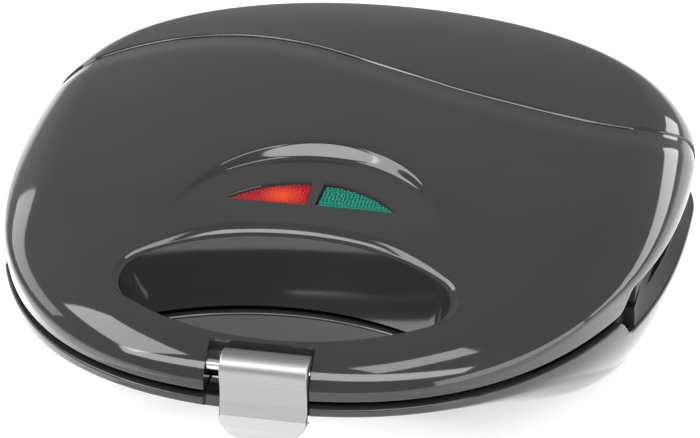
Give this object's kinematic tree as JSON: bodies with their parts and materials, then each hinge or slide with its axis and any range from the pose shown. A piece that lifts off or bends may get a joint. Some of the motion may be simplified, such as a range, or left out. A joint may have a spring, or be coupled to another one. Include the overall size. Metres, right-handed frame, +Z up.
{
  "type": "sandwich maker",
  "caption": "Countertop sandwich maker with a hinged domed lid, handle loop with finger opening, front latch, indicator lights and paired plates with triangular pockets.",
  "frame": {"origin": "on the table, under the middle of the bounding box of the closed appliance", "axes": "+X to the right seen from the front, +Y to the rear hinge, +Z up; the front faces -Y"},
  "size_m": [0.232, 0.253, 0.0862],
  "materials": {
    "casing": "gloss",
    "frame": "matt",
    "nonstick": "non-stick coating",
    "element": "oxidised",
    "shield": "mill finish",
    "ceramic_body": "matt",
    "fuse_body": "satin",
    "gland": "matt",
    "lead_sleeve": "glass fibre sleeve",
    "red_window": "prism pattern",
    "green_window": "prism pattern",
    "lamp_glass": "clear",
    "latch_metal": "satin",
    "steel": "zinc plated",
    "foot": "matt"
  },
  "bodies": {
    "base": {"base_shell": "casing", "base_frame": "frame", "lower_plate": "nonstick", "lower_heater": "element", "lower_shield": "shield", "base_thermostat": "ceramic_body", "terminal_block": "ceramic_body", "cord_gland": "gland", "base_leads": "lead_sleeve", "hinge_pin_left": "steel", "hinge_pin_right": "steel", "foot_front_left": "foot", "foot_front_right": "foot", "foot_rear_left": "foot", "foot_rear_right": "foot", "base_screws": "steel", "lower_plate_screws": "steel", "lower_shield_screws": "steel"},
    "lid": {"lid_shell": "casing", "lid_frame": "frame", "upper_plate": "nonstick", "upper_heater": "element", "upper_shield": "shield", "thermal_fuse": "fuse_body", "red_lens": "red_window", "green_lens": "green_window", "red_lamp": "lamp_glass", "green_lamp": "lamp_glass", "lamp_holder": "frame", "lamp_screws": "steel", "lid_screws": "steel", "upper_plate_screws": "steel", "upper_shield_screws": "steel", "lid_leads": "lead_sleeve", "latch_pin": "steel"},
    "latch": {"latch": "latch_metal"}
  },
  "joints": [
    {"name": "lid_hinge", "type": "hinge", "parent": "base", "child": "lid", "pos_m": [0, 0.121, 0.044], "axis": [-1, 0, 0], "range_deg": [0, 100]},
    {"name": "latch_pivot", "type": "hinge", "parent": "lid", "child": "latch", "pos_m": [0.0024, -0.1155, 0.0528], "axis": [-1, 0, 0], "range_deg": [-3.5, 60]}
  ]
}
